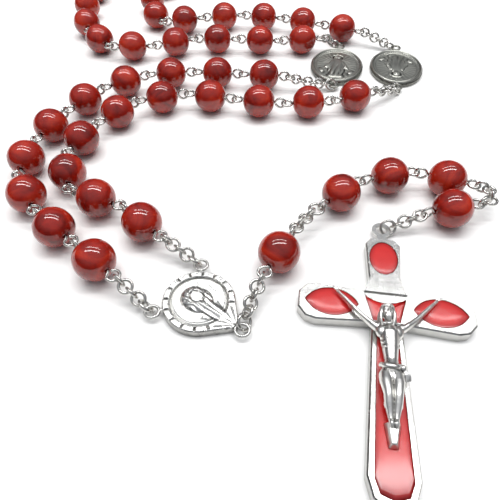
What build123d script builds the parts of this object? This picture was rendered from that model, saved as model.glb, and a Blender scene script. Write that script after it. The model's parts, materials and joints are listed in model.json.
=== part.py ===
"""Rosary of round glass beads on wire eye pins, with oval medals, a three-way
centrepiece and an enamelled crucifix. Millimetres, +Z up, laid flat on a table."""
import os
from math import asin, cos, degrees, radians, sin

from build123d import *

# Driving dimensions.
BEAD_R = 4.0          # radius of a bead
BEAD_FLAT = 0.97      # where the flats at the hole lie, as a share of BEAD_R
WIRE = 0.3            # radius of the wire
EYE = 1.2             # centreline radius of an eye or a small ring
JUMP = 1.45           # centreline radius of a jump ring
PLAY = 0.2            # free play between two linked rings
BORE = WIRE + 0.06    # radius of a bead's hole
DISC_R = 6.5          # radius of the centrepiece's disc
DISC_T = 1.8
EAR_Z = 1.2           # height of the flat ears above the table
EAR_T = 0.5
EAR_HOLE = 0.9
EAR_R = 1.55
EAR_ROLL = 52.0       # how far a jump ring in an ear stands up from flat
MEDAL_A, MEDAL_B = 9.3, 7.3    # half length and half width of an oval medal
MEDAL_T = 1.7
CROSS_T = 2.2
CROSS_UP = 19.0       # ear hole above the crossing's middle
CROSS_DOWN = 31.8     # foot of the lower arm below the middle
CROSS_HALF = 15.1     # half the span of the arms
CROSS_EAR_R = 1.85    # the crucifix's own, larger ear
CROSS_EAR_HOLE = 1.1
HALF_PIN = BEAD_R * BEAD_FLAT + 0.07 + WIRE + EYE

# Headings of the beads in degrees, counter-clockwise from +X.
DECADE_1 = [137, 158, 106, 68, 48, 15, -12, -9, 6, 22]
DECADE_5 = [139, 139, 122, 89, 69, 56, 31, 6, -5, -6]
DECADE_2 = [157, 160, 170, 188, 195, 120, 84, 66, 40, 10]
DECADE_4 = [187, 175, 179, 200, 182, 130, 108, 95, 84, 62]
DECADE_3A = [-16, -24]
DECADE_3B = [13, 9, 4, 1, -3, -27, -71, -118]
PENDANT = [60, 41, 14, -19]


def unit(heading, slope=0.0):
    h, s = radians(heading), radians(slope)
    return Vector(cos(h) * cos(s), sin(h) * cos(s), sin(s))


class Ring:
    """A round wire ring: centre, direction of the run through it, roll, radius."""

    def __init__(self, centre, u, roll, radius):
        side = Vector(-u.Y, u.X, 0).normalized()
        over = u.cross(side)
        v = side * cos(radians(roll)) + over * sin(radians(roll))
        self.c, self.u, self.n, self.radius = centre, u, u.cross(v), radius


def hook(last, heading, slope, roll, radius):
    """The ring linked to the last one, with the free play left between them."""
    u = unit(heading, slope)
    flat = u - last.n * u.dot(last.n)
    crossing = last.c + flat.normalized() * last.radius
    return Ring(crossing + u * (radius - 2 * WIRE - PLAY), u, roll, radius)


def twist(first, last, steps):
    """The roll from ring to ring, near a right angle, that ends at the last roll."""
    half_turns = round((90 * steps - (last - first)) / 180)
    return (last - first + 180 * half_turns) / steps


def run(start, headings, slope, jump_last, first=0.0, turn=90.0):
    """Rings linked one after another; jump_last makes the last one a jump ring."""
    rings = []
    for i, heading in enumerate(headings):
        last = i == len(headings) - 1
        radius = JUMP if jump_last and last else EYE
        rings.append(hook(start, heading, slope, first + turn * i, radius))
        start = rings[-1]
    return rings


def level(height, target):
    """The slope at which height(slope) meets the target."""
    low, high = -75.0, 75.0
    for _ in range(40):
        mid = (low + high) / 2
        low, high = (mid, high) if height(mid) < target else (low, mid)
    return low


def rise(hole, headings, bead_heading, entry_roll):
    """Jump ring in a flat ear, then small rings up to the bead's entry eye."""

    def rings(slope):
        u = unit(headings[0], slope)
        jump = Ring(hole + u * JUMP, u, EAR_ROLL, JUMP)
        step = twist(EAR_ROLL, entry_roll, len(headings))
        return [jump] + run(jump, headings[1:], slope, False, EAR_ROLL + step, step)

    def last(slope):
        return hook(rings(slope)[-1], bead_heading, 0, entry_roll, EYE)

    slope = level(lambda s: last(s).c.Z, BEAD_R)
    return rings(slope), last(slope)


def fall(start, headings, exit_roll, ear_roll=EAR_ROLL):
    """Small rings down from a bead, the last one a jump ring in a flat ear."""
    step = twist(exit_roll, ear_roll, len(headings))

    def rings(slope):
        return run(start, headings, slope, True, exit_roll + step, step)

    def hole(slope):
        end = rings(slope)[-1]
        return end.c + end.u * JUMP

    slope = level(lambda s: hole(s).Z, EAR_Z)
    return rings(slope), hole(slope)


def rod(entry, exit_roll):
    """The bead pin that starts with this entry eye: its two eyes and its middle."""
    u = entry.u
    return {"entry": entry, "mid": entry.c + u * HALF_PIN, "u": u,
            "exit": Ring(entry.c + u * (2 * HALF_PIN), u, exit_roll, EYE)}


def strand(entry, headings, roll):
    """Bead pins one after another; flat and upright eyes alternate."""
    rods = []
    for i, heading in enumerate(headings):
        rods.append(rod(entry, roll))
        if i + 1 < len(headings):
            entry = hook(rods[-1]["exit"], headings[i + 1], 0, 90 - roll, EYE)
    return rods


def medal(hole, heading, count, turn, bead_heading):
    """A medal from its first ear hole on, and the rings up to the next bead."""
    u = unit(heading)
    reach = MEDAL_A + EAR_R + 0.1
    far = hole + u * (2 * reach)
    rings, entry = rise(far, [turn] * count, bead_heading, 0)
    return {"mid": hole + u * reach, "heading": heading, "rings": rings}, entry


def layout():
    """Every ring, bead pin and flat casting of the rosary, in its place."""
    out = {"centre": (Vector(0, 0, 0), -37)}
    disc = Vector(0, 0, EAR_Z)
    left, upper, lower = (disc + unit(a) * (DISC_R + EAR_R + 0.2) for a in (195, 91, -37))
    lower = lower + unit(-37) * 1.4
    out["ears"] = {"left": left, "upper": upper, "lower": lower}
    out["right_links"], entry = rise(upper, [150] * 5, DECADE_1[0], 0)
    out["decade_1"] = strand(entry, DECADE_1, 90)
    fall_1, hole = fall(out["decade_1"][-1]["exit"], [28, 32, 36, 40, 44, 48], 90)
    out["medal_1"], entry = medal(hole, 83, 6, 156, DECADE_2[0])
    out["medal_1"]["rings"] = fall_1 + out["medal_1"]["rings"]
    out["decade_2"] = strand(entry, DECADE_2, 90)
    fall_2, hole = fall(out["decade_2"][-1]["exit"], [14, 10, 6], 90)
    out["medal_2"], entry = medal(hole, 2, 3, 4, DECADE_3A[0])
    out["medal_2"]["rings"] = fall_2 + out["medal_2"]["rings"]
    out["decade_3a"] = strand(entry, DECADE_3A, 90)
    out["left_links"], entry = rise(left, [142] * 5, DECADE_5[0], 0)
    out["decade_5"] = strand(entry, DECADE_5, 90)
    fall_4, hole = fall(out["decade_5"][-1]["exit"], [-12, -8, -4, 0, 2, 4, 8, 12], 90)
    out["medal_4"], entry = medal(hole, 82, 3, 190, DECADE_4[0])
    out["medal_4"]["rings"] = fall_4 + out["medal_4"]["rings"]
    out["decade_4"] = strand(entry, DECADE_4, 90)
    fall_3, hole = fall(out["decade_4"][-1]["exit"], [56, 50, 44], 90)
    out["medal_3"], entry = medal(hole, 30, 3, 12, DECADE_3B[0])
    out["medal_3"]["rings"] = fall_3 + out["medal_3"]["rings"]
    out["decade_3b"] = strand(entry, DECADE_3B, 90)
    out["pendant_links_1"], entry = rise(lower, [74, 72, 70, 68, 66, 64], PENDANT[0], 0)
    first = rod(entry, 90)
    rings = run(first["exit"], [54, 52, 50, 48], 0, False)
    rings.append(hook(rings[-1], 46, 0, 0, JUMP))
    out["pendant_links_2"] = rings
    three = strand(hook(rings[-1], PENDANT[1], 0, 90, EYE), PENDANT[1:], 0)
    rings = run(three[-1]["exit"], [-30, -62, -98, -134, -160], 0, False, 90)
    out["pendant_links_3"] = rings
    fifth = rod(hook(rings[-1], -167, 0, 0, EYE), 90)
    out["pendant"] = [first] + three + [fifth]
    out["crucifix_links"], hole = fall(fifth["exit"], [-166] * 5, 90, -EAR_ROLL)
    out["cross"] = (hole + unit(262) * CROSS_UP - Vector(0, 0, EAR_Z), 82)
    return out


def wire_ring(ring):
    return Plane(ring.c, ring.u, ring.n) * Torus(ring.radius, WIRE, mode=Mode.PRIVATE)


def bead(place):
    """A round bead with its hole and the small flats round it."""
    with BuildPart() as one:
        with BuildSketch(Plane.XZ):
            Circle(BEAD_R)
            half = BEAD_R * BEAD_FLAT
            Rectangle(2 * BEAD_R, 2 * half, mode=Mode.INTERSECT)
            with Locations((-BEAD_R, 0)):
                Rectangle(2 * (BEAD_R + BORE), 3 * BEAD_R, mode=Mode.SUBTRACT)
        revolve(axis=Axis.Z)
    return Plane(place["mid"], place["entry"].n, place["u"]) * one.part


def eye_pin(place):
    """The straight wire through a bead with a round eye at each end."""
    with BuildPart() as pin:
        rod_wire = Cylinder(WIRE, 2 * (HALF_PIN - EYE), mode=Mode.PRIVATE)
        add(Plane(place["mid"], place["entry"].n, place["u"]) * rod_wire)
        add(wire_ring(place["entry"]))
        add(wire_ring(place["exit"]))
    return pin.part


def ear(x, y, root_x, root_y, outer=EAR_R, hole=EAR_HOLE):
    """Flat ear with a round hole, tied to the point it grows from."""
    with BuildPart() as tab:
        with BuildSketch(Plane.XY.offset(EAR_Z - EAR_T / 2)):
            with Locations((x, y)):
                Circle(outer)
            with BuildLine():
                Line((x, y), (root_x, root_y))
            trace(line_width=outer)
            with Locations((x, y)):
                Circle(hole, mode=Mode.SUBTRACT)
        extrude(amount=EAR_T)
    return tab.part


def teardrop(big, small, length):
    """A round body that narrows to a small round tail along +X."""
    with BuildSketch() as drop:
        Circle(big)
        with Locations((length, 0)):
            Circle(small)
        make_hull()
    return drop.sketch


def centrepiece(holes):
    """Drop-shaped plate with a notched rim, a sunk ring, a veiled shape and three ears."""
    neck = holes[-1].length - EAR_HOLE - 1.85
    with BuildPart() as disc:
        with BuildSketch():
            add(teardrop(DISC_R, 1.6, neck).rotate(Axis.Z, -37))
        extrude(amount=DISC_T)
        chamfer(disc.faces().sort_by(Axis.Z)[-1].edges(), 0.2)
        with BuildSketch(Plane.XY.offset(DISC_T)):
            Circle(DISC_R * 0.80)
        extrude(amount=-0.4, mode=Mode.SUBTRACT)
        with BuildSketch(Plane.XY.offset(DISC_T)):
            with PolarLocations(DISC_R * 0.89, 16, start_angle=-26):
                Rectangle(DISC_R * 0.13, 0.3)
        extrude(amount=-0.2, mode=Mode.SUBTRACT)
        with BuildSketch(Plane.XY.offset(DISC_T - 0.4)):
            add(teardrop(DISC_R * 0.42, DISC_R * 0.15, DISC_R * 0.9).rotate(Axis.Z, -37))
        extrude(amount=0.75, taper=20)
        head = Rot(0, 0, -37) * Pos(-0.5, 0.1, DISC_T - 0.05)
        add(head * Sphere(0.85, mode=Mode.PRIVATE))
        for hole in holes:
            root = hole.normalized() * (DISC_R * 0.9)
            add(ear(hole.X, hole.Y, root.X, root.Y))
    return disc.part


def oval_medal(number):
    """Oval plate with a raised rim and a plain standing figure; an ear at each end."""
    reach = MEDAL_A + EAR_R + 0.1
    with BuildPart() as plate:
        with BuildSketch():
            Ellipse(MEDAL_A, MEDAL_B)
        extrude(amount=MEDAL_T)
        with BuildSketch(Plane.XY.offset(MEDAL_T)):
            Ellipse(MEDAL_A - 1.0, MEDAL_B - 1.0)
        extrude(amount=-0.5, mode=Mode.SUBTRACT)
        with BuildSketch(Plane.XY.offset(MEDAL_T - 0.5)):
            with Locations((-1.2, 0)):
                Ellipse(4.6, 2.0 + 0.15 * number)
        extrude(amount=0.4, taper=15)
        with BuildSketch(Plane.XY.offset(MEDAL_T - 0.5)):
            with Locations((4.6, 0)):
                Circle(1.25)
        extrude(amount=0.45, taper=15)
        for end in (-1, 1):
            add(ear(end * reach, 0, end * (MEDAL_A - 0.8), 0))
    return plate.part


def panel(points, flip=1):
    """A closed outline from corner points, mirrored in X when flip is -1."""
    with BuildSketch() as face:
        with BuildLine():
            Polyline(*[(flip * x, y) for x, y in points], close=True)
        make_face()
    return face.sketch


def almond(flip):
    """The pointed oval enamel field of one arm."""
    near, far, half = 4.6, CROSS_HALF - 1.1, 2.9
    mid = (near + far) / 2
    with BuildSketch() as face:
        with BuildLine():
            ThreePointArc((flip * near, 0), (flip * mid, half), (flip * far, 0))
            ThreePointArc((flip * far, 0), (flip * mid, -half), (flip * near, 0))
        make_face()
    return face.sketch


def enamel_fields():
    """The five enamel fields: top oval, centre, two arms and the lower arm."""
    with BuildSketch() as top:
        with Locations((0, CROSS_UP - 7.95)):
            Ellipse(2.65, 3.95)
    with BuildSketch() as centre:
        with BuildLine():
            Line((-2.3, -3.0), (2.3, -3.0))
            Line((2.3, -3.0), (3.6, 2.1))
            ThreePointArc((3.6, 2.1), (0, 0.8), (-3.6, 2.1))
            Line((-3.6, 2.1), (-2.3, -3.0))
        make_face()
    low = CROSS_DOWN
    lower = panel([(-1.75, -4.6), (1.75, -4.6), (2.75, -low + 3.6), (2.0, -low + 1.6),
                   (0, -low + 1.0), (-2.0, -low + 1.6), (-2.75, -low + 3.6)])
    return [top.sketch, centre.sketch, almond(-1), almond(1), lower]


def cross_frame():
    """Cast cross with flared arms, a plaque, sunk enamel fields and an ear on top."""
    top, low, half = CROSS_UP - 3.0, CROSS_DOWN, CROSS_HALF
    with BuildPart() as frame:
        with BuildSketch():
            add(panel([(-3.25, top - 1.4), (-2.2, top), (2.2, top), (3.25, top - 1.4),
                       (2.75, 5.9), (3.7, 2.8), (-3.7, 2.8), (-2.75, 5.9)]))
            for flip in (-1, 1):
                add(panel([(2.0, 3.2), (half - 3.2, 3.9), (half - 1.4, 3.4),
                           (half, 1.65), (half, -1.65), (half - 1.4, -3.4),
                           (half - 3.2, -3.9), (2.0, -3.2)], flip))
            Rectangle(6.4, 6.6)
            add(panel([(-2.5, -3.0), (2.5, -3.0), (3.75, 3.9 - low), (2.9, 1.1 - low),
                       (1.6, 0.2 - low), (0, -low), (-1.6, 0.2 - low),
                       (-2.9, 1.1 - low), (-3.75, 3.9 - low)]))
        extrude(amount=CROSS_T)
        chamfer(frame.faces().sort_by(Axis.Z)[-1].edges(), 0.25)
        for field in enamel_fields():
            with BuildSketch(Plane.XY.offset(CROSS_T)):
                add(field)
            extrude(amount=-0.7, mode=Mode.SUBTRACT)
        with BuildSketch(Plane.XY.offset(CROSS_T - 0.5)):
            add(panel([(-2.75, 5.9), (2.75, 5.9), (3.7, 2.8), (-3.7, 2.8)]))
        extrude(amount=0.9)
        with BuildSketch(Plane.XY.offset(CROSS_T + 0.4)):
            with GridLocations(1.1, 1, 4, 1):
                with Locations((0, 4.3)):
                    Rectangle(0.3, 1.6)
        extrude(amount=-0.15, mode=Mode.SUBTRACT)
        add(ear(0, CROSS_UP, 0, top - 0.8, CROSS_EAR_R, CROSS_EAR_HOLE))
    return frame.part


def enamel():
    """Enamel that fills the sunk fields and stands a little proud of them."""
    fills = []
    for field in enamel_fields():
        with BuildPart() as fill:
            with BuildSketch(Plane.XY.offset(CROSS_T - 0.7)):
                add(offset(field, -0.03, kind=Kind.INTERSECTION))
            extrude(amount=0.8)
        fills.append(fill.part)
    return Compound(children=fills)


def limb(points):
    """A round tapering limb: balls at the joints and cones between them."""
    with BuildPart() as arm:
        for (a, ra), (b, rb) in zip(points, points[1:]):
            start, end = Vector(*a), Vector(*b)
            way = end - start
            with BuildSketch(Plane(start, z_dir=way)):
                Circle(ra)
            with BuildSketch(Plane(end, z_dir=way)):
                Circle(rb)
            loft()
            for point, radius in ((start, ra), (end, rb)):
                add(Pos(*point) * Sphere(radius, mode=Mode.PRIVATE))
    return arm.part


def foot_rest(z):
    """The block under the feet, narrower towards the foot of the cross."""
    with BuildPart() as rest:
        with BuildSketch(Plane.XY.offset(z)):
            add(panel([(-0.75, -24.2), (0.75, -24.2), (1.35, -20.5), (-1.35, -20.5)]))
        extrude(amount=1.4, taper=12)
    return rest.part


def corpus():
    """The cast figure with raised arms and the foot rest, flat where they meet the cross."""
    z = CROSS_T
    with BuildPart() as figure:
        for y, a, b in ((-5.0, 2.6, 1.05), (-11.0, 1.9, 0.9)):
            with BuildSketch(Plane((0, y, z + 1.1), (1, 0, 0), (0, 1, 0))):
                Ellipse(a, b)
        loft()
        for y, a, b in ((-10.9, 1.9, 0.95), (-15.2, 2.1, 1.2)):
            with BuildSketch(Plane((0, y, z + 1.15), (1, 0, 0), (0, 1, 0))):
                Ellipse(a, b)
        loft()
        for s in (-1, 1):
            add(limb([((s * 2.2, -5.0, z + 1.1), 0.85), ((s * 5.0, -2.4, z + 0.95), 0.62),
                      ((s * 8.2, 1.5, z + 0.75), 0.48)]))
            add(limb([((s * 0.95, -14.4, z + 1.3), 1.0), ((s * 0.8, -16.6, z + 1.6), 0.85),
                      ((s * 0.5, -20.4, z + 1.2), 0.55), ((s * 0.4, -21.6, z + 0.95), 0.55)]))
        add(limb([((0, -4.8, z + 1.3), 0.8), ((-0.4, -2.8, z + 1.85), 1.35)]))
        with Locations(Plane((-0.4, -2.1, z + 1.85), z_dir=(0.1, 1, 0.1))):
            Torus(1.2, 0.28)
        add(limb([((2.0, -12.6, z + 1.2), 0.65), ((2.4, -15.4, z + 0.9), 0.4)]))
        add(foot_rest(z))
        split(bisect_by=Plane.XY.offset(z + 0.1), keep=Keep.TOP)
    return figure.part


def build():
    """Every node of the part, by name, in the layout's own frame."""
    lay, nodes = layout(), {}
    holes = [h - Vector(0, 0, EAR_Z) for h in lay["ears"].values()]
    nodes["centrepiece"] = centrepiece(holes)
    jumps = [lay[k][0] for k in ("left_links", "right_links", "pendant_links_1")]
    nodes["centrepiece_rings"] = Compound(children=[wire_ring(r) for r in jumps])
    for name in ("left_links", "right_links", "pendant_links_1"):
        nodes[name] = Compound(children=[wire_ring(r) for r in lay[name][1:]])
    for name in ("pendant_links_2", "pendant_links_3", "crucifix_links"):
        nodes[name] = Compound(children=[wire_ring(r) for r in lay[name]])
    for name in ("decade_1", "decade_5"):
        for i, place in enumerate(lay[name], 1):
            nodes[f"{name}_bead_{i}"] = Compound(children=[bead(place), eye_pin(place)])
    for name in ("decade_2", "decade_3a", "decade_3b", "decade_4"):
        places = lay[name]
        for i in range(0, len(places), 2):
            solids = [f(p) for p in places[i:i + 2] for f in (bead, eye_pin)]
            nodes[f"{name}_pair_{i // 2 + 1}"] = Compound(children=solids)
    for i, place in enumerate(lay["pendant"], 1):
        nodes[f"pendant_bead_{i}"] = bead(place)
        nodes[f"pendant_pin_{i}"] = eye_pin(place)
    for i in range(1, 5):
        m = lay[f"medal_{i}"]
        at = Pos(m["mid"].X, m["mid"].Y, 0) * Rot(0, 0, m["heading"])
        solids = [at * oval_medal(i)] + [wire_ring(r) for r in m["rings"]]
        nodes[f"medal_{i}"] = Compound(children=solids)
    mid, heading = lay["cross"]
    at = Pos(mid.X, mid.Y, 0) * Rot(0, 0, heading - 90)
    nodes["cross_frame"] = at * cross_frame()
    nodes["enamel_inlays"] = at * enamel()
    nodes["corpus"] = at * corpus()
    return nodes


def main():
    os.makedirs("parts", exist_ok=True)
    nodes = build()
    boxes = [part.bounding_box() for part in nodes.values()]
    x = (min(b.min.X for b in boxes) + max(b.max.X for b in boxes)) / 2
    y = (min(b.min.Y for b in boxes) + max(b.max.Y for b in boxes)) / 2
    for name, part in nodes.items():
        placed = Pos(-x, -y, 0) * part
        placed.label = name
        export_step(placed, f"parts/{name}.step")
    print("moved by", round(-x, 4), round(-y, 4))


if __name__ == "__main__":
    main()
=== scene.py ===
import json
from math import cos, pi, radians, sin, sqrt

import bmesh
import bpy
import numpy as np
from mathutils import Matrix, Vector


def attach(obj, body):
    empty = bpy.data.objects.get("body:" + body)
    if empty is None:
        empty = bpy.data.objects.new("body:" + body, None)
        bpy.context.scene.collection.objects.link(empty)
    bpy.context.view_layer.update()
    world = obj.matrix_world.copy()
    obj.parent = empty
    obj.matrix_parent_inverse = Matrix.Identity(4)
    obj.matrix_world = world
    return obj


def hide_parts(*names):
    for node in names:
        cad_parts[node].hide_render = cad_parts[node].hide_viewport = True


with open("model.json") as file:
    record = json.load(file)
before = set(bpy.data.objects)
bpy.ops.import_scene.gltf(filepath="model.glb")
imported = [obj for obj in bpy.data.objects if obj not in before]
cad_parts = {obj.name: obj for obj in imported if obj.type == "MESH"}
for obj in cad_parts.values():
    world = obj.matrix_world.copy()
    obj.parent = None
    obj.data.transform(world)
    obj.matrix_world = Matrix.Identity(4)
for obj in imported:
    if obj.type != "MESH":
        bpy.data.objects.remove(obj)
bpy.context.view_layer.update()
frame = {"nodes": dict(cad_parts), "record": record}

MM = 0.001
BEAD_R, WIRE, EYE = 4.0, 0.3, 1.2
HALF_PIN = BEAD_R * 0.97 + 0.07 + WIRE + EYE
DISC_R = 6.5
NECK, NECK_R = 6.9, 1.6          # the drop-shaped plate's small end
LEFT_EAR, UPPER_EAR, LOWER_EAR = 195, 91, -37     # headings of the three ears, degrees
EAR_R, EAR_REACH, EAR_Z = 1.55, 1.75, 1.2
MEDAL_A, MEDAL_B = 9.3, 7.3
CROSS_T, CROSS_UP, CROSS_DOWN, CROSS_HALF = 2.2, 19.0, 31.8, 15.1
BODIES = frame["record"]["behaviour"]["bodies"]
BODY = {node: body for body, nodes in BODIES.items() for node in nodes}
JOINTS = {j["name"]: j for j in frame["record"]["behaviour"]["joints"]}


# ---------------------------------------------------------------- mesh helpers
def mesh(name, verts, faces, material, smooth=True, attrs=None):
    """A mesh object from millimetre points."""
    data = bpy.data.meshes.new(name)
    data.from_pydata([tuple(v) for v in np.asarray(verts, float) * MM], [],
                     [tuple(int(i) for i in f) for f in faces])
    data.validate()
    bm = bmesh.new()
    bm.from_mesh(data)
    bmesh.ops.recalc_face_normals(bm, faces=bm.faces)
    bm.to_mesh(data)
    bm.free()
    for key, values in (attrs or {}).items():
        layer = data.attributes.new(key, "FLOAT", "POINT")
        layer.data.foreach_set("value", np.asarray(values, np.float32))
    data.polygons.foreach_set("use_smooth", [smooth] * len(data.polygons))
    obj = bpy.data.objects.new(name, data)
    bpy.context.scene.collection.objects.link(obj)
    obj.data.materials.append(material)
    return obj


def place(obj, node):
    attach(obj, BODY[node])
    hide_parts(node)
    return obj


class Pile:
    """Collects several closed surfaces into one mesh."""

    def __init__(self):
        self.v, self.f, self.n = [], [], 0

    def add(self, verts, faces):
        self.v.append(np.asarray(verts, float))
        self.f += [tuple(i + self.n for i in f) for f in faces]
        self.n += len(verts)

    def points(self):
        return np.concatenate(self.v)


def grid_faces(rows, cols, closed=True):
    out = []
    for i in range(rows - 1):
        for j in range(cols if closed else cols - 1):
            k = (j + 1) % cols
            out.append((i * cols + j, i * cols + k, (i + 1) * cols + k, (i + 1) * cols + j))
    return out


def tube(points, radius, sides=12):
    """A round wire along points, with rounded ends."""
    p = np.asarray(points, float)
    t = np.gradient(p, axis=0)
    t /= np.linalg.norm(t, axis=1)[:, None]
    n = np.cross(t[0], (0, 0, 1.0))
    if np.linalg.norm(n) < 0.1:
        n = np.cross(t[0], (0, 1.0, 0))
    rings, a = [], np.linspace(0, 2 * pi, sides, endpoint=False)
    r = np.full(len(p), float(radius)) if np.isscalar(radius) else np.asarray(radius, float)
    p = np.concatenate([[p[0] - t[0] * r[0] * 0.35], p, [p[-1] + t[-1] * r[-1] * 0.35]])
    t = np.concatenate([[t[0]], t, [t[-1]]])
    r = np.concatenate([[r[0] * 0.6], r, [r[-1] * 0.6]])
    for i in range(len(p)):
        n = n - t[i] * (n @ t[i])
        n /= np.linalg.norm(n)
        b = np.cross(t[i], n)
        ring = p[i] + r[i] * (np.cos(a)[:, None] * n + np.sin(a)[:, None] * b)
        rings.append(ring)
    verts = np.concatenate(rings + [[p[0]], [p[-1]]])
    m = len(p)
    faces = grid_faces(m, sides)
    for j in range(sides):
        k = (j + 1) % sides
        faces.append((k, j, m * sides))
        faces.append(((m - 1) * sides + j, (m - 1) * sides + k, m * sides + 1))
    return verts, faces


def smooth_path(points, steps=5):
    """Catmull-Rom through the points."""
    p = np.asarray(points, float)
    q = np.concatenate([[2 * p[0] - p[1]], p, [2 * p[-1] - p[-2]]])
    out = []
    for i in range(1, len(q) - 2):
        for s in np.linspace(0, 1, steps, endpoint=False):
            a, b, c, d = q[i - 1:i + 3]
            out.append(0.5 * (2 * b + (c - a) * s + (2 * a - 5 * b + 4 * c - d) * s * s
                              + (3 * b - a - 3 * c + d) * s ** 3))
    out.append(p[-1])
    return np.array(out)


def loose_parts(node):
    """The separate solids of a CAD node as point clouds in millimetres."""
    bm = bmesh.new()
    bm.from_mesh(frame["nodes"][node].data)
    bmesh.ops.remove_doubles(bm, verts=bm.verts, dist=1e-7)
    seen, out = set(), []
    for start in bm.verts:
        if start.index in seen:
            continue
        stack, group = [start], []
        seen.add(start.index)
        while stack:
            v = stack.pop()
            group.append(v.co[:])
            for e in v.link_edges:
                w = e.other_vert(v)
                if w.index not in seen:
                    seen.add(w.index)
                    stack.append(w)
        out.append(np.array(group) * 1000.0)
    bm.free()
    return out


def axes_of(points):
    """Mid point and the directions of most, middle and least spread."""
    mid = (points.min(0) + points.max(0)) / 2
    _, _, vt = np.linalg.svd(points - points.mean(0), full_matrices=False)
    return mid, vt


def eye_facts(points):
    """Axis, middle and the plane of each end eye of a bead pin."""
    _, vt = axes_of(points)
    u = vt[0]
    along = points @ u
    mid_a = (along.min() + along.max()) / 2
    eyes = []
    for side in (-1, 1):
        part = points[(along - mid_a) * side > HALF_PIN - EYE * 0.6]
        centre = part.mean(0)
        _, _, w = np.linalg.svd(part - centre, full_matrices=False)
        eyes.append(w[2] - u * (w[2] @ u))
    core = points[np.abs(along - mid_a) < HALF_PIN - EYE - 0.6]
    base = core.mean(0) if len(core) else points.mean(0)
    centre = base + u * (mid_a - base @ u)
    return centre, u, [e / np.linalg.norm(e) for e in eyes]


# ---------------------------------------------------------------- materials
def material(name):
    mat = bpy.data.materials.new(name)
    mat.use_nodes = True
    tree = mat.node_tree
    return mat, tree.nodes, tree.links, tree.nodes["Principled BSDF"]


def ramp(nodes, stops):
    node = nodes.new("ShaderNodeValToRGB")
    while len(node.color_ramp.elements) < len(stops):
        node.color_ramp.elements.new(0.5)
    for e, (pos, col) in zip(node.color_ramp.elements, stops):
        e.position, e.color = pos, (*col, 1)
    return node


def noise(nodes, links, scale, detail=3.0, rough=0.5, coords="Object"):
    tc = nodes.new("ShaderNodeTexCoord")
    tex = nodes.new("ShaderNodeTexNoise")
    tex.inputs["Scale"].default_value = scale
    tex.inputs["Detail"].default_value = detail
    tex.inputs["Roughness"].default_value = rough
    links.new(tc.outputs[coords], tex.inputs["Vector"])
    return tex


def bump(nodes, links, bsdf, source, strength, distance):
    node = nodes.new("ShaderNodeBump")
    node.inputs["Strength"].default_value = strength
    node.inputs["Distance"].default_value = distance
    links.new(source, node.inputs["Height"])
    links.new(node.outputs["Normal"], bsdf.inputs["Normal"])


def bead_material():
    """Red-brown glass: soft cloudy bands, a little light inside, high polish."""
    mat, nodes, links, bsdf = material("red_bead_glass")
    cloud = noise(nodes, links, 170, 3, 0.55)
    cloud.inputs["Distortion"].default_value = 1.2
    col = ramp(nodes, [(0.30, (0.13, 0.004, 0.002)), (0.52, (0.29, 0.012, 0.005)),
                       (0.72, (0.44, 0.030, 0.009))])
    links.new(cloud.outputs["Fac"], col.inputs["Fac"])
    links.new(col.outputs["Color"], bsdf.inputs["Base Color"])
    bsdf.inputs["Subsurface Weight"].default_value = 0.35
    bsdf.inputs["Subsurface Radius"].default_value = (1.0, 0.16, 0.12)
    bsdf.inputs["Subsurface Scale"].default_value = 0.0016
    bsdf.inputs["Roughness"].default_value = 0.07
    bsdf.inputs["IOR"].default_value = 1.54
    bsdf.inputs["Coat Weight"].default_value = 0.3
    bsdf.inputs["Coat Roughness"].default_value = 0.03
    fine = noise(nodes, links, 420, 2)
    bump(nodes, links, bsdf, fine.outputs["Fac"], 0.05, 0.0002)
    return mat


def metal_material(name, light, dark, rough, use_painted_shade, grain=900, shade_low=0.0, shade_high=1.0):
    """Cast or drawn metal with fine scratches; with the painted-shade attribute its hollows get painted
    shade and its raised parts painted light.
    """
    mat, nodes, links, bsdf = material(name)
    tex = noise(nodes, links, grain, 4, 0.6)
    mix = nodes.new("ShaderNodeMath")
    mix.operation = "MULTIPLY_ADD"
    links.new(tex.outputs["Fac"], mix.inputs[0])
    mix.inputs[1].default_value = 0.5
    # Painted shade and light: the attribute darkens hollows and lightens raised parts of the base
    # colour.
    if use_painted_shade:
        att = nodes.new("ShaderNodeAttribute")
        att.attribute_name = "painted_shade"
        links.new(att.outputs["Fac"], mix.inputs[2])
    else:
        mix.inputs[2].default_value = 0.45
    col = ramp(nodes, [(shade_low + 0.25, dark), (shade_high * 0.5 + 0.25, light),
                       (1.0, tuple(min(1.0, c * 1.15) for c in light))])
    links.new(mix.outputs[0], col.inputs["Fac"])
    links.new(col.outputs["Color"], bsdf.inputs["Base Color"])
    bsdf.inputs["Metallic"].default_value = 1.0
    wear = nodes.new("ShaderNodeMapRange")
    links.new(tex.outputs["Fac"], wear.inputs["Value"])
    wear.inputs["To Min"].default_value = rough * 0.75
    wear.inputs["To Max"].default_value = rough * 1.35
    links.new(wear.outputs["Result"], bsdf.inputs["Roughness"])
    bump(nodes, links, bsdf, tex.outputs["Fac"], 0.12, 0.00012)
    return mat


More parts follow.
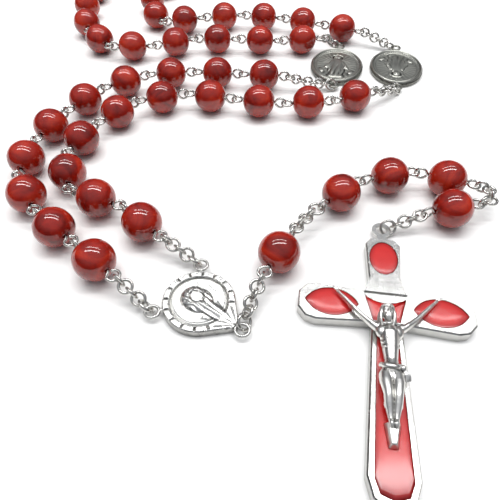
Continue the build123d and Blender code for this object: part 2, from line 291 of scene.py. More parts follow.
def enamel_material():
    """Translucent red enamel over metal: painted shade makes it dark at the rim and brighter towards the
    middle.
    """
    mat, nodes, links, bsdf = material("red_enamel_glass")
    att = nodes.new("ShaderNodeAttribute")
    att.attribute_name = "painted_shade"
    tex = noise(nodes, links, 420, 3, 0.6)
    mix = nodes.new("ShaderNodeMath")
    mix.operation = "MULTIPLY_ADD"
    links.new(tex.outputs["Fac"], mix.inputs[0])
    mix.inputs[1].default_value = 0.22
    links.new(att.outputs["Fac"], mix.inputs[2])
    col = ramp(nodes, [(0.08, (0.09, 0.002, 0.002)), (0.35, (0.32, 0.005, 0.005)),
                       (0.75, (0.48, 0.010, 0.009)), (1.0, (0.60, 0.03, 0.024))])
    links.new(mix.outputs[0], col.inputs["Fac"])
    links.new(col.outputs["Color"], bsdf.inputs["Base Color"])
    bsdf.inputs["Roughness"].default_value = 0.22
    bsdf.inputs["Coat Weight"].default_value = 0.35
    bsdf.inputs["Coat Roughness"].default_value = 0.10
    bump(nodes, links, bsdf, tex.outputs["Fac"], 0.10, 0.0002)
    return mat


M_BEAD = bead_material()
M_WIRE = metal_material("silver_wire_metal", (0.62, 0.61, 0.58), (0.22, 0.215, 0.20), 0.18,
                        False, 700)
M_CAST = metal_material("cast_silver_metal", (0.64, 0.635, 0.61), (0.12, 0.118, 0.11), 0.27,
                        True, 650)
# Medal metal: a darker silver, with near-black painted shade in its hollows from the attribute.
M_AGED_AND_SHADED = metal_material("antique_silver_and_painted_shade_metal", (0.40, 0.40, 0.36), (0.030, 0.030, 0.026), 0.34,
                        True, 800)
M_FIGURE = metal_material("figure_silver_metal", (0.70, 0.69, 0.66), (0.05, 0.048, 0.042), 0.28,
                          True, 800)
M_ENAMEL = enamel_material()


# ---------------------------------------------------------------- beads and wire
def bead_mesh(centre, u, seed):
    """A hand-polished bead: slightly uneven, with flats and a hole at the poles."""
    rows, cols = 36, 48
    hole = 0.42
    n = np.cross(u, (0.31, 0.47, 0.82))
    n /= np.linalg.norm(n)
    b = np.cross(u, n)
    a0 = np.arcsin(0.85 / BEAD_R)
    lat = np.linspace(a0, pi - a0, rows)
    r, z = BEAD_R * np.sin(lat), BEAD_R * np.cos(lat)
    flat = BEAD_R * 0.97 - 0.01
    z = np.clip(z, -flat, flat)
    prof = [(hole, z[0] - 1.2), (hole, z[0] - 0.16), (hole + 0.13, z[0])]
    prof += [(0.5 * (hole + 0.13 + r[0]), z[0])]
    prof += list(zip(r, z))
    prof += [(0.5 * (hole + 0.13 + r[0]), z[-1]), (hole + 0.13, z[-1]),
             (hole, z[-1] + 0.16), (hole, z[-1] + 1.2)]
    prof = np.array(prof)
    t = np.linspace(0, 2 * pi, cols, endpoint=False)
    R, T = np.meshgrid(prof[:, 0], t, indexing="ij")
    Z = np.repeat(prof[:, 1][:, None], cols, 1)
    rng = np.random.default_rng(100 + seed)
    d = np.stack([R * np.cos(T), R * np.sin(T), Z], -1)
    wob = np.zeros_like(R)
    for _ in range(4):
        k, ph = rng.normal(size=3), rng.uniform(0, 6.3)
        wob += np.sin((d @ k) * 0.55 + ph)
    scale = 1 - 0.004 * (wob - wob.min())
    scale = np.where(R < 1.3, 1.0, scale)
    R = R * scale
    pts = (centre + R[..., None] * (np.cos(T)[..., None] * n + np.sin(T)[..., None] * b)
           + Z[..., None] * u)
    return pts.reshape(-1, 3), grid_faces(len(prof), cols) + [
        ((len(prof) - 1) * cols + j, (len(prof) - 1) * cols + (j + 1) % cols, (j + 1) % cols, j)
        for j in range(cols)]


def pin_mesh(centre, u, eyes, seed):
    """Wire through the bead with a bent eye at each end, each closed to a hair gap."""
    pile = Pile()
    pts = []
    for side, n in ((-1, eyes[0]), (1, eyes[1])):
        d = u * side
        v = np.cross(n, d) * (1 if (seed + (side > 0)) % 2 else -1)
        c = centre + d * HALF_PIN
        arc = [c + EYE * (cos(a) * d + sin(a) * v)
               for a in np.radians(np.arange(222, 222 + 306, 9))]
        neck = [centre + d * (HALF_PIN - EYE - 0.75), centre + d * (HALF_PIN - EYE - 0.28),
                centre + d * (HALF_PIN - EYE - 0.02) + v * -0.30]
        run = neck + arc
        pts.append(smooth_path(run, 2))
    path = np.concatenate([pts[0][::-1], pts[1]])
    pile.add(*tube(path, WIRE, 14))
    return pile


def ring_mesh(pile, points, gap=7.0):
    """A round link with a fine cut, from the CAD ring's own points."""
    centre, vt = points.mean(0), axes_of(points)[1]
    a, n = vt[0], vt[2]
    b = np.cross(n, a)
    r = (np.linalg.norm(points - centre, axis=1)).max() - WIRE
    arc = [centre + r * (cos(t) * a + sin(t) * b)
           for t in np.radians(np.linspace(gap / 2, 360 - gap / 2, 46))]
    pile.add(*tube(arc, WIRE * 0.98, 12))


count = 0
for node in sorted(frame["nodes"]):
    if "bead_" not in node and "pair_" not in node and "pin_" not in node:
        continue
    if node.startswith("pendant_bead"):
        continue
    parts = loose_parts(node)
    balls = [p for p in parts if np.ptp(p, axis=0).min() > 6.5]
    pins = [p for p in parts if np.ptp(p, axis=0).min() <= 6.5]
    for k, points in enumerate(pins):
        centre, u, eyes = eye_facts(points)
        count += 1
        tag = f"_{k + 1}" if len(pins) > 1 else ""
        pile = pin_mesh(centre, u, eyes, count)
        pin = mesh(f"{node}{tag}_wire", pile.points(), pile.f, M_WIRE)
        place(pin, node)
        home = node if balls else node.replace("pin", "bead")
        stone = mesh(f"{home}{tag}_stone", *bead_mesh(centre, u, count), M_BEAD)
        place(stone, home)

for node in sorted(frame["nodes"]):
    if "links" in node or node == "centrepiece_rings":
        pile = Pile()
        for points in loose_parts(node):
            ring_mesh(pile, points)
        place(mesh(f"{node}_wire", pile.points(), pile.f, M_WIRE), node)


# ---------------------------------------------------------------- reliefs
def blob(x, y, cx, cy, rx, ry, h, turn=0.0):
    """Height of a rounded swelling."""
    c, s = cos(radians(turn)), sin(radians(turn))
    dx, dy = (x - cx) * c + (y - cy) * s, -(x - cx) * s + (y - cy) * c
    return h * np.sqrt(np.maximum(0, 1 - (dx / rx) ** 2 - (dy / ry) ** 2))


def ridge(x, y, ax, ay, bx, by, w, h):
    """Height of a rounded bar from a to b."""
    vx, vy = bx - ax, by - ay
    t = np.clip(((x - ax) * vx + (y - ay) * vy) / (vx * vx + vy * vy), 0, 1)
    d = np.hypot(x - ax - t * vx, y - ay - t * vy)
    return h * np.sqrt(np.maximum(0, 1 - (d / w) ** 2))


def relief(a, b, height, edge_z, frame_at, cols=260, outline=np.ones_like, rows=110):
    """A coin-like piece: height(x, y) on an a by b oval, side wall and flat back."""
    rad = 1 - (1 - np.linspace(0, 1, rows)) ** 1.15
    t = np.linspace(0, 2 * pi, cols, endpoint=False)
    R, T = np.meshgrid(rad[1:], t, indexing="ij")
    k = outline(t)
    x, y = a * R * k * np.cos(T), b * R * k * np.sin(T)
    z = height(x, y)
    x0, y0 = np.zeros(1), np.zeros(1)
    top = np.stack([x, y, z], -1).reshape(-1, 3)
    m = rows - 1
    side = []
    for f, zz in ((1.0, edge_z - 0.12), (1.0, 0.22), (0.985, 0.05), (0.96, 0.0)):
        side.append(np.stack([a * f * k * np.cos(t), b * f * k * np.sin(t), np.full(cols, zz)], -1))
    verts = np.concatenate([top] + side + [[[0, 0, float(height(x0, y0)[0])]], [[0, 0, 0]]])
    faces = grid_faces(m + 4, cols)
    n = len(verts)
    for j in range(cols):
        k = (j + 1) % cols
        faces.append((j, k, n - 2))
        faces.append(((m + 3) * cols + k, (m + 3) * cols + j, n - 1))
    # Painted shade: how far a point lies below the mean of its surroundings, so hollows are painted
    # darker and raised points lighter.
    zz = z.copy()
    blur = zz.copy()
    for _ in range(10):
        blur = (blur + np.roll(blur, 2, 1) + np.roll(blur, -2, 1)
                + np.vstack([blur[:1], blur[:-1]]) + np.vstack([blur[1:], blur[-1:]])) / 5
    painted_shade = np.clip(0.55 + (zz - blur) * 6.0, 0, 1).reshape(-1)
    # Painted shade: the side wall is painted darker (0.30), the two centre points mid-tone.
    painted_shade = np.concatenate([painted_shade, np.full(cols * 4, 0.30), [0.5, 0.5]])
    at, turn = frame_at
    c, s = cos(turn), sin(turn)
    w = verts.copy()
    w[:, 0] = at[0] + verts[:, 0] * c - verts[:, 1] * s
    w[:, 1] = at[1] + verts[:, 0] * s + verts[:, 1] * c
    return w, faces, painted_shade


def ear_ring(centre, root, inner=0.92, outer=1.52, z_mid=EAR_Z, half=0.30):
    """A cast loop: flattened ring and a short neck to its root."""
    mid, thick = (inner + outer) / 2, (outer - inner) / 2
    cols, sides = 56, 14
    t = np.linspace(0, 2 * pi, cols, endpoint=False)
    s = np.linspace(0, 2 * pi, sides, endpoint=False)
    T, S = np.meshgrid(t, s, indexing="ij")
    v = np.stack([centre[0] + (mid + thick * np.cos(S)) * np.cos(T),
                  centre[1] + (mid + thick * np.cos(S)) * np.sin(T),
                  z_mid + half * np.sin(S)], -1).reshape(-1, 3)
    f = grid_faces(cols, sides)
    f += [((cols - 1) * sides + j, (cols - 1) * sides + (j + 1) % sides, (j + 1) % sides, j)
          for j in range(sides)]
    way = np.array([root[0] - centre[0], root[1] - centre[1]])
    way = way / np.hypot(*way)
    a = np.array([centre[0] + way[0] * (outer - 0.25), centre[1] + way[1] * (outer - 0.25), z_mid])
    b = np.array([root[0], root[1], z_mid])
    neck = tube([a, a * 0.66 + b * 0.34, a * 0.33 + b * 0.67, b], [0.30, 0.36, 0.42, 0.48], 12)
    nv = neck[0].copy()
    nv[:, 2] = z_mid + (nv[:, 2] - z_mid) * 0.55
    return (v, f), (nv, neck[1])


def bottom_points(node):
    pts = np.concatenate(loose_parts(node))
    return pts[pts[:, 2] < 0.05]


def disc_centre():
    """Middle of the centrepiece's disc: its drop shape points right and down."""
    low = bottom_points("centrepiece")
    return np.array([low[:, 0].min() + DISC_R, low[:, 1].max() - DISC_R])


def drop_outline(t):
    """How far the drop-shaped plate reaches in direction t, as a share of DISC_R."""
    d = np.stack([np.cos(t), np.sin(t)], -1)
    best = np.full(np.shape(t), DISC_R)
    for f in np.linspace(0, 1, 60):
        c, r = f * NECK, DISC_R + (NECK_R - DISC_R) * f
        inside = r * r - (c * d[..., 1]) ** 2
        best = np.maximum(best, c * d[..., 0] + np.sqrt(np.maximum(inside, 0)) * (inside > 0))
    return best / DISC_R


def centrepiece():
    node = "centrepiece"
    at = disc_centre()
    turn = radians(LOWER_EAR)
    R = DISC_R

    def height(x, y):
        r, t = np.hypot(x, y), np.arctan2(y, x)
        base = np.where(r > R * 0.80, 1.72, 1.36)
        q = r / (R * drop_outline(t))
        base = base - 0.30 * np.clip((q - 0.955) / 0.045, 0, 1) ** 2
        edge = np.abs(r - R * 0.79)
        base = base - 0.22 * np.exp(-(edge / 0.18) ** 2)
        base += 0.08 * np.exp(-((r - R * 0.72) / 0.16) ** 2)
        ticks = np.abs(((t * 16 / (2 * pi)) % 1) - 0.5) * 2 * pi * r / 16
        ticks = np.exp(-(ticks / 0.15) ** 2) * (r > R * 0.83) * (r < R * 0.965)
        base -= 0.34 * ticks * (np.abs(t) > 0.30)
        veil = np.maximum(blob(x, y, -0.3, 0, 3.0, 2.55, 1.05), blob(x, y, 2.2, 0, 5.2, 1.45, 0.75))
        lines = np.abs(np.sin(9 * np.arctan2(y, NECK + 1.5 - x)))
        base -= 0.12 * (1 - lines) ** 2 * (x > 2.5) * (np.abs(y) < 2.6)
        veil = np.maximum(veil, blob(x, y, -1.6, 0.0, 1.9, 2.35, 0.95))
        face = blob(x, y, -0.7, 0.25, 1.15, 0.95, 0.55)
        shade = 0.22 * np.exp(-((np.hypot((x + 0.7) / 1.25, (y - 0.25) / 1.05) - 1.12) / 0.14) ** 2)
        folds = 0.07 * np.sin(5.2 * (y + 0.22 * x * np.sign(y)) / (0.6 + 0.12 * np.abs(x)))
        out = np.maximum(base, 1.22 + veil * 0.9 + folds * (veil > 0.2))
        out = out + np.where(veil > 0.3, face * 0.5 - shade, 0)
        return np.minimum(out, 2.12)

    v, f, painted_shade = relief(R, R, height, 1.42, (at, turn), 300, drop_outline)
    pile = Pile()
    pile.add(v, f)
    tone = [painted_shade]
    for ang, reach in ((LEFT_EAR, R + EAR_REACH), (UPPER_EAR, R + EAR_REACH),
                       (LOWER_EAR, R + EAR_REACH + 1.4)):
        d = np.array([cos(radians(ang)), sin(radians(ang))])
        for part in ear_ring(at[:2] + d * reach, at[:2] + d * (R - 0.5)):
            pile.add(*part)
            tone.append(np.full(len(part[0]), 0.45))
    obj = mesh("centrepiece_cast", pile.points(), pile.f, M_CAST,
               attrs={"painted_shade": np.concatenate(tone)})
    place(obj, node)


centrepiece()


def medal(i):
    node = f"medal_{i}"
    parts = loose_parts(node)
    parts.sort(key=lambda p: -np.ptp(p, axis=0)[:2].max())
    plate = parts[0]
    low = plate[plate[:, 2] < 0.05]
    at = (low.min(0) + low.max(0)) / 2
    _, vt = axes_of(low[:, :2])
    u = vt[0]
    ends = [r.mean(0)[:2] for r in parts[1:]]
    nxt = max(range(len(ends)), key=lambda k: k)
    if (ends[nxt] - at[:2]) @ u < 0:
        u = -u
    turn = float(np.arctan2(u[1], u[0]))
    A, B = MEDAL_A, MEDAL_B
    low_relief = 0.8 if i in (1, 3) else 1.0

    def height(x, y):
        q = np.hypot(x / A, y / B)
        t = np.arctan2(y / B, x / A)
        z = 1.12 + 0 * q
        z += 0.52 * np.exp(-((q - 0.935) / 0.045) ** 2)
        z += 0.10 * np.exp(-((q - 0.82) / 0.018) ** 2)
        beads = np.abs(((t * 64 / (2 * pi)) % 1) - 0.5)
        z += 0.10 * np.exp(-((q - 0.86) / 0.02) ** 2) * (beads < 0.3)
        z -= 0.30 * np.clip((q - 0.975) / 0.025, 0, 1)
        rays = 0.06 * np.maximum(0, np.cos(28 * np.arctan2(y, x - 0.6))) * (q < 0.76) * (q > 0.30)
        z += rays * low_relief
        robe = np.maximum(blob(x, y, -1.9, 0, 4.9, 2.35, 0.55), blob(x, y, 0.4, 0, 3.6, 1.75, 0.62))
        robe = np.maximum(robe, ridge(x, y, 1.6, 1.3, -1.6, 2.6, 0.75, 0.42))
        robe = np.maximum(robe, ridge(x, y, 1.6, -1.3, -1.6, -2.6, 0.75, 0.42))
        folds = 0.09 * np.sin(4.4 * y + 0.7 * x) * np.clip(0.6 - 0.25 * x, 0, 1)
        head = blob(x, y, 3.9, 0, 1.35, 1.05, 0.62)
        halo = 0.16 * np.exp(-((np.hypot(x - 3.9, y) - 1.75) / 0.16) ** 2)
        fig = robe + folds * (robe > 0.15)
        fig = np.maximum(fig, head)
        foot = blob(x, y, -6.0, 0, 1.1, 2.2, 0.35)
        fig = np.maximum(fig, foot)
        for s in (-1, 1):
            fig = np.maximum(fig, blob(x, y, -3.6, s * 4.0, 0.9, 0.65, 0.28, 30 * s))
        return np.minimum(z + low_relief * np.maximum(fig, halo), 1.68)

    v, f, painted_shade = relief(A, B, height, 1.30, (at, turn))
    pile = Pile()
    pile.add(v, f)
    tone = [painted_shade]
    reach = A + EAR_R + 0.1
    d = np.array([cos(turn), sin(turn)])
    for s in (-1, 1):
        for part in ear_ring(at[:2] + s * d * reach, at[:2] + s * d * (A - 0.5)):
            pile.add(*part)
            tone.append(np.full(len(part[0]), 0.42))
    obj = mesh(f"{node}_plate", pile.points(), pile.f, M_AGED_AND_SHADED, attrs={"painted_shade": np.concatenate(tone)})
    place(obj, node)
    rings = Pile()
    for points in parts[1:]:
        ring_mesh(rings, points)
    place(mesh(f"{node}_rings", rings.points(), rings.f, M_WIRE), node)


for i in range(1, 5):
    medal(i)


# ---------------------------------------------------------------- crucifix
swing = JOINTS["crucifix_swing"]
SIDE = np.array(swing["axis"][:2])
UP = np.array([SIDE[1], -SIDE[0]])
MID = np.array(swing["pos_m"][:2]) * 1000 - UP * CROSS_UP


def to_row(points):
    """From the cross's own frame (x right, y up its shaft) to the row frame."""
    p = np.asarray(points, float)
    out = p.copy()
    out[:, :2] = MID + p[:, :1] * -SIDE + p[:, 1:2] * UP
    return out


def box_to(node, obj):
    place(obj, node)


def dome(pile, tone, outline, centre, rise, base, bands=9):
    """An enamel pad: the outline drawn in to its middle while it rises."""
    o = np.asarray(outline, float)
    n = len(o)
    c = np.asarray(centre, float)
    # Painted shade: the rim ring is marked darkest and the marks rise towards the middle.
    rings, marks = [np.c_[o, np.full(n, base - 0.5)]], [np.full(n, 0.0)]
    for k in range(bands):
        f = 1 - (k / bands) ** 1.3 * 0.999
        h = base + rise * (1 - (1 - k / (bands - 1.0)) ** 2.2) if bands > 1 else base
        ring = c + (o - c) * f
        rings.append(np.c_[ring, np.full(n, h)])
        marks.append(np.full(n, min(0.62, 0.02 + 0.16 * k)))
    v = np.concatenate(rings + [[[c[0], c[1], base + rise]]])
    f = grid_faces(bands + 1, n)
    m = bands * n
    f += [(m + j, m + (j + 1) % n, len(v) - 1) for j in range(n)]
    f.append(tuple(range(n))[::-1])
    tone.append(np.concatenate(marks + [[0.62]]))
    pile.add(v, f)


def arc3(a, b, c, n=14):
    """Points of the circle arc through a, b, c."""
    (x1, y1), (x2, y2), (x3, y3) = a, b, c
    d = 2 * (x1 * (y2 - y3) + x2 * (y3 - y1) + x3 * (y1 - y2))
    ux = ((x1 * x1 + y1 * y1) * (y2 - y3) + (x2 * x2 + y2 * y2) * (y3 - y1)
          + (x3 * x3 + y3 * y3) * (y1 - y2)) / d
    uy = ((x1 * x1 + y1 * y1) * (x3 - x2) + (x2 * x2 + y2 * y2) * (x1 - x3)
          + (x3 * x3 + y3 * y3) * (x2 - x1)) / d
    r = sqrt((x1 - ux) ** 2 + (y1 - uy) ** 2)
    t1, t2, t3 = (np.arctan2(y - uy, x - ux) for x, y in (a, b, c))
    two = (t2 - t1) % (2 * pi)
    three = (t3 - t1) % (2 * pi)
    if two > three:
        three -= 2 * pi
    return [(ux + r * cos(t1 + three * s), uy + r * sin(t1 + three * s))
            for s in np.linspace(0, 1, n)]


def poly(points, per=6):
    out = []
    for (x0, y0), (x1, y1) in zip(points, points[1:] + points[:1]):
        out += [(x0 + (x1 - x0) * s, y0 + (y1 - y0) * s)
                for s in np.linspace(0, 1, per, endpoint=False)]
    return out


def enamel():
    pile, tone = Pile(), []
    t = np.linspace(0, 2 * pi, 40, endpoint=False)
    base = CROSS_T - 0.06
    dome(pile, tone, np.c_[2.61 * np.cos(t), CROSS_UP - 7.95 + 3.91 * np.sin(t)],
         (0, CROSS_UP - 7.95), 0.14, base)
    centre = poly([(-3.54, 2.04), (-2.26, -2.96), (2.26, -2.96), (3.54, 2.04)])[:-5]
    centre += arc3((3.54, 2.02), (0, 0.76), (-3.54, 2.02))[:-1]
    dome(pile, tone, centre, (0, -1.0), 0.14, base)
    for s in (-1, 1):
        near, far = 4.64, CROSS_HALF - 1.14
        mid = (near + far) / 2
        up = arc3((near, 0), (mid, 2.86), (far, 0), 22)
        down = arc3((far, 0), (mid, -2.86), (near, 0), 22)
        pts = np.array(up[:-1] + down[:-1]) * (s, 1)
        dome(pile, tone, pts, (s * mid, 0), 0.15, base)
    low = CROSS_DOWN
    lower = poly([(-1.71, -4.64), (1.71, -4.64), (2.71, 3.6 - low), (1.97, 1.64 - low),
                  (0, 1.04 - low), (-1.97, 1.64 - low), (-2.71, 3.6 - low)], 8)
    dome(pile, tone, lower, (0, -17.5), 0.14, base)
    obj = mesh("enamel_pads", to_row(pile.points()), pile.f, M_ENAMEL,
               attrs={"painted_shade": np.concatenate(tone)})
    box_to("enamel_inlays", obj)


enamel()


def ball(pile, c, r, turn=0.0, rows=14, cols=20):
    """An ellipsoid, turned about the axis out of the cross."""
    lat = np.linspace(0, pi, rows + 2)[1:-1]
    t = np.linspace(0, 2 * pi, cols, endpoint=False)
    L, T = np.meshgrid(lat, t, indexing="ij")
    r = np.broadcast_to(np.asarray(r, float), 3)
    p = np.stack([r[0] * np.sin(L) * np.cos(T), r[1] * np.sin(L) * np.sin(T), r[2] * np.cos(L)], -1)
    p = np.concatenate([p.reshape(-1, 3), [[0, 0, r[2]], [0, 0, -r[2]]]])
    k, s = cos(radians(turn)), sin(radians(turn))
    p = np.stack([p[:, 0] * k - p[:, 1] * s, p[:, 0] * s + p[:, 1] * k, p[:, 2]], -1)
    p = p + np.asarray(c)
    f = grid_faces(rows, cols)
    n = rows * cols
    for j in range(cols):
        m = (j + 1) % cols
        f.append((m, j, n))
        f.append(((rows - 1) * cols + j, (rows - 1) * cols + m, n + 1))
    pile.add(p, f)


def rod(pile, points, radii, sides=14):
    p = smooth_path(points, 5)
    r = np.interp(np.linspace(0, len(points) - 1, len(p)), range(len(points)), radii)
    pile.add(*tube(p, r, sides))


def set_pose(points):
    """Hangs the figure lower on the cross and lifts its arms up to the nails."""
    p = points.copy()
    x, y = points[:, 0], points[:, 1]
    arm = np.clip((np.abs(x) - 2.1) / 5.0, 0, 1.1) * (y > 1.0)
    p[:, 1] = np.where(y > -3.4, y - 9.2, -12.6 + (y + 3.4) * 0.65) + 4.1 * arm
    p[:, 0] = x * np.where(y > 1.0, 1.06, 1.0) + np.sign(x) * 0.7 * arm
    return p


def corpus():
    z = CROSS_T + 0.2
    pile = Pile()
    # Trunk: chest, belly and hips, with ribs and collar bones.
    rod(pile, [(0.05, 4.6, z + 0.9), (0.0, 3.0, z + 1.15), (0.05, 0.6, z + 1.0), (0.1, -1.6, z + 0.85),
               (0.05, -3.4, z + 0.95)], [1.0, 1.5, 1.3, 1.05, 1.35], 20)
    for s in (-1, 1):
        ball(pile, (s * 0.95, 3.3, z + 1.25), (1.2, 1.25, 0.95))
        ball(pile, (s * 1.55, 4.3, z + 0.95), (0.95, 0.8, 0.75))
        rod(pile, [(s * 0.2, 4.55, z + 1.7), (s * 1.0, 4.75, z + 1.65), (s * 1.9, 4.75, z + 1.3)],
            [0.14, 0.2, 0.14], 8)
        for k in range(4):
            y = 2.5 - 0.72 * k
            rod(pile, [(s * 0.32, y - 0.12, z + 2.02 - 0.05 * k), (s * 1.0, y, z + 1.86 - 0.05 * k),
                       (s * 1.42, y + 0.32, z + 1.25)], [0.13, 0.17, 0.12], 8)
        # Arms raised to the nails, with muscle, elbow and open hand.
        rod(pile, [(s * 1.6, 4.2, z + 0.95), (s * 2.7, 4.35, z + 0.95), (s * 3.9, 4.75, z + 0.85),
                   (s * 4.9, 5.3, z + 0.8), (s * 6.1, 6.0, z + 0.7), (s * 6.9, 6.45, z + 0.62)],
            [0.86, 0.74, 0.60, 0.52, 0.50, 0.34], 14)
        ball(pile, (s * 2.7, 4.35, z + 1.15), (0.9, 0.55, 0.55), 12 * s)
        ball(pile, (s * 5.5, 5.65, z + 0.85), (0.75, 0.45, 0.42), 30 * s)
        ball(pile, (s * 7.1, 6.58, z + 0.6), (0.46, 0.38, 0.26), 30 * s)
        for a in (10, 32, 52, 74):
            d = np.array([cos(radians(a)) * s, sin(radians(a)), 0.0])
            p = np.array([s * 7.15, 6.6, z + 0.6])
            rod(pile, [p, p + d * 0.42, p + d * 0.72 + (0, 0, 0.14)], [0.14, 0.12, 0.09], 8)
        ball(pile, (s * 7.0, 6.5, z + 0.86), 0.17)
        # Legs side by side, knees forward, feet side by side.
        rod(pile, [(s * 0.85, -4.4, z + 1.0), (s * 0.92, -6.4, z + 1.35), (s * 0.80, -8.4, z + 1.65),
                   (s * 0.72, -10.0, z + 1.72), (s * 0.66, -11.8, z + 1.4), (s * 0.52, -13.8, z + 1.1),
                   (s * 0.42, -15.3, z + 0.98)], [1.05, 1.02, 0.86, 0.74, 0.70, 0.52, 0.40], 16)
        ball(pile, (s * 0.75, -9.9, z + 2.05), (0.48, 0.62, 0.42))
        ball(pile, (s * 0.78, -12.0, z + 1.2), (0.62, 1.3, 0.6))
        rod(pile, [(s * 0.42, -15.2, z + 1.0), (s * 0.36, -16.2, z + 1.25), (s * 0.34, -17.1, z + 1.0)],
            [0.42, 0.44, 0.30], 12)
        for k in range(3):
            ball(pile, (s * (0.16 + 0.2 * k), -17.3 + 0.07 * k, z + 0.98), (0.11, 0.2, 0.12))
    ball(pile, (0.05, -0.3, z + 1.35), (0.95, 1.5, 0.72))
    # Loincloth: wrapped band, hanging folds and a knot at one hip.
    rod(pile, [(-1.55, -2.5, z + 0.9), (-0.8, -3.0, z + 1.75), (0.4, -3.15, z + 1.95),
               (1.6, -2.6, z + 1.1)], [0.42, 0.5, 0.5, 0.45], 12)
    ball(pile, (0.0, -4.6, z + 1.15), (1.85, 2.1, 0.95))
    for k in range(8):
        x = -1.5 + 0.42 * k
        rod(pile, [(x * 0.7, -3.1, z + 1.75 - 0.18 * abs(x)), (x, -4.7, z + 2.0 - 0.3 * abs(x)),
                   (x * 1.02 + 0.1, -6.4 + 0.25 * abs(x), z + 1.95 - 0.3 * abs(x))],
            [0.16, 0.24, 0.17], 8)
    ball(pile, (1.75, -2.9, z + 1.2), (0.6, 0.55, 0.6))
    for k in range(3):
        rod(pile, [(1.75, -3.0, z + 1.25), (2.15 + 0.25 * k, -4.2, z + 1.15),
                   (2.25 + 0.32 * k, -6.0 + 0.3 * k, z + 0.8)], [0.24, 0.27, 0.13], 8)
    # Neck and head: leaning, bearded, long hair, with a plaited crown.
    hx, hy, hz = -0.35, 6.55, z + 2.0
    rod(pile, [(0.0, 4.4, z + 1.25), (-0.2, 5.6, z + 1.75)], [0.72, 0.6], 12)
    ball(pile, (hx, hy, hz), (1.02, 1.28, 1.06), 8)
    ball(pile, (hx + 0.02, hy - 0.45, hz + 0.45), (0.68, 0.82, 0.62), 8)
    ball(pile, (hx + 0.1, hy - 1.18, hz + 0.42), (0.46, 0.58, 0.42), 8)
    rod(pile, [(hx, hy + 0.25, hz + 1.02), (hx + 0.04, hy - 0.22, hz + 1.22)], [0.10, 0.15], 8)
    for s in (-1, 1):
        rod(pile, [(hx + s * 0.12, hy + 0.30, hz + 0.98), (hx + s * 0.40, hy + 0.36, hz + 0.93),
                   (hx + s * 0.62, hy + 0.26, hz + 0.76)], [0.09, 0.1, 0.07], 8)
        ball(pile, (hx + s * 0.34, hy + 0.1, hz + 0.88), (0.17, 0.09, 0.1))
        ball(pile, (hx + s * 0.45, hy - 0.3, hz + 0.82), (0.24, 0.3, 0.2))
        for k in range(3):
            rod(pile, [(hx + s * 0.72, hy + 0.7, hz + 0.35 - 0.2 * k),
                       (hx + s * (1.05 + 0.05 * k), hy - 0.3, hz + 0.3 - 0.3 * k),
                       (hx + s * (1.0 + 0.12 * k), hy - 1.5, hz + 0.05 - 0.35 * k),
                       (hx + s * (0.85 + 0.15 * k), hy - 2.3, hz - 0.15 - 0.35 * k)],
                [0.24, 0.28, 0.24, 0.12], 8)
        for k in range(3):
            rod(pile, [(hx + s * 0.1 * k, hy - 0.62, hz + 1.0), (hx + s * 0.16 * k, hy - 1.2, hz + 0.82),
                       (hx + s * 0.13 * k + 0.05, hy - 1.66, hz + 0.5)], [0.12, 0.14, 0.06], 8)
    rod(pile, [(hx - 0.24, hy - 0.52, hz + 1.02), (hx, hy - 0.46, hz + 1.12),
               (hx + 0.24, hy - 0.52, hz + 1.02)], [0.06, 0.09, 0.06], 8)
    for k in range(26):
        a = 2 * pi * k / 26
        w = 1.02 + 0.05 * (k % 2)
        c = np.array([hx + w * cos(a), hy + 0.72 + 0.18 * sin(a), hz + 0.05 + 1.02 * sin(a)])
        e = np.array([hx + w * cos(a + 0.42), hy + 0.72 + 0.18 * sin(a + 0.42) + 0.26 * (-1) ** k,
                      hz + 0.05 + 1.02 * sin(a + 0.42)])
        rod(pile, [c, (c + e) / 2 * 1.0, e], [0.12, 0.15, 0.10], 8)
    # One skin over all the balls and rods, then the hollows are marked for painted shade.
    obj = mesh("corpus_figure", to_row(set_pose(pile.points())), pile.f, M_FIGURE)
    mod = obj.modifiers.new("remesh", "REMESH")
    mod.mode, mod.voxel_size = "VOXEL", 0.000085
    bpy.context.view_layer.objects.active = obj
    sm = obj.modifiers.new("smooth", "SMOOTH")
    sm.factor, sm.iterations = 0.5, 2
    dg = bpy.context.evaluated_depsgraph_get()
    done = bpy.data.meshes.new_from_object(obj.evaluated_get(dg))
    obj.modifiers.clear()
    obj.data = done
    obj.data.materials.clear()
    obj.data.materials.append(M_FIGURE)
    n = len(done.vertices)
    co = np.zeros(n * 3, np.float32)
    done.vertices.foreach_get("co", co)
    co = co.reshape(-1, 3)
    co[:, 2] = np.maximum(co[:, 2], (CROSS_T + 0.14) * MM)
    done.vertices.foreach_set("co", co.reshape(-1))
    # Painted shade: each point is compared with a smoothed copy, hollows painted darker and raised
    # points lighter.
    edges = np.zeros(len(done.edges) * 2, np.int32)
    done.edges.foreach_get("vertices", edges)
    edges = edges.reshape(-1, 2)
    flat = co.copy()
    deg = np.bincount(edges.reshape(-1), minlength=n)[:, None].clip(1)
    for _ in range(14):
        acc = np.zeros_like(flat)
        for k in range(3):
            acc[:, k] = (np.bincount(edges[:, 0], flat[edges[:, 1], k], n)
                         + np.bincount(edges[:, 1], flat[edges[:, 0], k], n))
        flat = 0.5 * flat + 0.5 * acc / deg
    nor = np.zeros(n * 3, np.float32)
    done.vertices.foreach_get("normal", nor)
    depth = ((co - flat) * nor.reshape(-1, 3)).sum(1) * 1000
    painted_shade = np.clip(0.50 + depth * 9.0, 0, 1)
    layer = done.attributes.new("painted_shade", "FLOAT", "POINT")
    layer.data.foreach_set("value", painted_shade.astype(np.float32))
    done.polygons.foreach_set("use_smooth", [True] * len(done.polygons))
    box_to("corpus", obj)
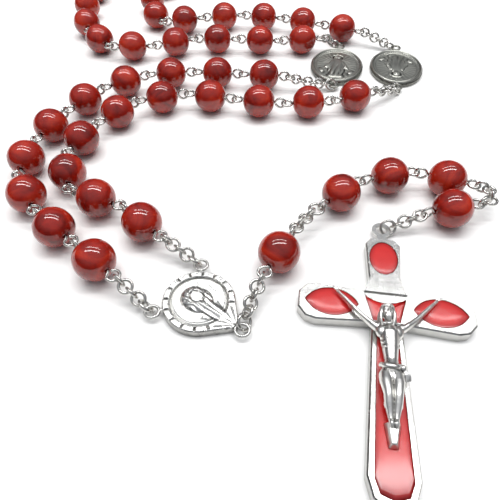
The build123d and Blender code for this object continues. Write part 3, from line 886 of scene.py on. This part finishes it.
    # The faceted foot rest is a separate casting under the feet.
    y0, y1, w0, w1, h = -20.5, -24.2, 1.35, 0.75, 1.25
    b = CROSS_T + 0.14
    v = [(-w0, y0, b), (w0, y0, b), (w1, y1, b), (-w1, y1, b),
         (-w0 * 0.62, y0 - 0.25, b + h), (w0 * 0.62, y0 - 0.25, b + h),
         (w1 * 0.5, y1 + 0.5, b + h * 0.8), (-w1 * 0.5, y1 + 0.5, b + h * 0.8)]
    f = [(3, 2, 1, 0), (4, 5, 6, 7), (0, 1, 5, 4), (1, 2, 6, 5), (2, 3, 7, 6), (3, 0, 4, 7)]
    # Painted light: the top of the foot rest is painted lighter than its base.
    obj = mesh("corpus_foot_rest", to_row(np.array(v)), f, M_FIGURE, smooth=False,
               attrs={"painted_shade": [0.3] * 4 + [0.75] * 4})
    mod = obj.modifiers.new("bevel", "BEVEL")
    mod.width, mod.segments = 0.00018, 3
    box_to("corpus", obj)


corpus()

# The cast cross keeps its CAD shape.
frame_obj = frame["nodes"]["cross_frame"]
M_CROSS = metal_material("cross_metal", (0.60, 0.595, 0.575), (0.30, 0.295, 0.28), 0.24,
                         False, 600)
for k in range(len(frame_obj.material_slots)):
    frame_obj.material_slots[k].material = M_CROSS
if not frame_obj.material_slots:
    frame_obj.data.materials.append(M_CROSS)


# ---------------------------------------------------------------- stage
def floor():
    data = bpy.data.meshes.new("floor")
    s = 3.0
    data.from_pydata([(-s, -s, 0), (s, -s, 0), (s, s, 0), (-s, s, 0)], [], [(0, 1, 2, 3)])
    obj = bpy.data.objects.new("floor", data)
    bpy.context.scene.collection.objects.link(obj)
    mat, nodes, links, bsdf = material("floor_white")
    tex = noise(nodes, links, 40, 2)
    col = ramp(nodes, [(0.3, (0.80, 0.795, 0.78)), (0.7, (0.84, 0.835, 0.82))])
    links.new(tex.outputs["Fac"], col.inputs["Fac"])
    links.new(col.outputs["Color"], bsdf.inputs["Base Color"])
    bsdf.inputs["Roughness"].default_value = 0.65
    obj.data.materials.append(mat)
    obj.location.z = -0.00002


floor()


def strip(name, y, z, length, width, power):
    light = bpy.data.lights.new(name, "AREA")
    light.shape, light.size, light.size_y, light.energy = "RECTANGLE", length, width, power
    obj = bpy.data.objects.new(name, light)
    bpy.context.scene.collection.objects.link(obj)
    obj.location = (0, y, z)
    aim = Vector((0, 0, 0)) - Vector((0, y, z))
    obj.rotation_euler = aim.to_track_quat("-Z", "Y").to_euler()
    return obj


def room():
    """A room that is dark low down and bright overhead, so metal shows its edges."""
    world = bpy.data.worlds.new("room")
    bpy.context.scene.world = world
    world.use_nodes = True
    nodes, links = world.node_tree.nodes, world.node_tree.links
    tc = nodes.new("ShaderNodeTexCoord")
    split = nodes.new("ShaderNodeSeparateXYZ")
    links.new(tc.outputs["Generated"], split.inputs["Vector"])
    col = ramp(nodes, [(0.0, (0.06, 0.06, 0.065)), (0.30, (0.16, 0.165, 0.18)),
                       (0.62, (0.62, 0.64, 0.68)), (1.0, (0.90, 0.93, 1.0))])
    links.new(split.outputs["Z"], col.inputs["Fac"])
    links.new(col.outputs["Color"], nodes["Background"].inputs["Color"])
    nodes["Background"].inputs["Strength"].default_value = 0.62


strip("strip_near", 0.045, 0.60, 0.80, 0.050, 2.2)
strip("strip_far", 0.280, 0.60, 0.80, 0.022, 1.1)
soft = strip("soft", 0.10, 0.90, 1.2, 1.2, 7.0)
soft.visible_glossy = False
room()

cam = bpy.data.cameras.new("camera")
cam.lens, cam.sensor_width, cam.clip_start = 34.77, 36.0, 0.001
camera = bpy.data.objects.new("camera", cam)
bpy.context.scene.collection.objects.link(camera)
disc = disc_centre()
camera.location = ((disc[0] + 9.0) * MM, (disc[1] - 48.3) * MM, 71.78 * MM)
camera.rotation_euler = (radians(90 - 49.53), 0, 0)
bpy.context.scene.camera = camera
bpy.context.scene.view_settings.view_transform = "Standard"
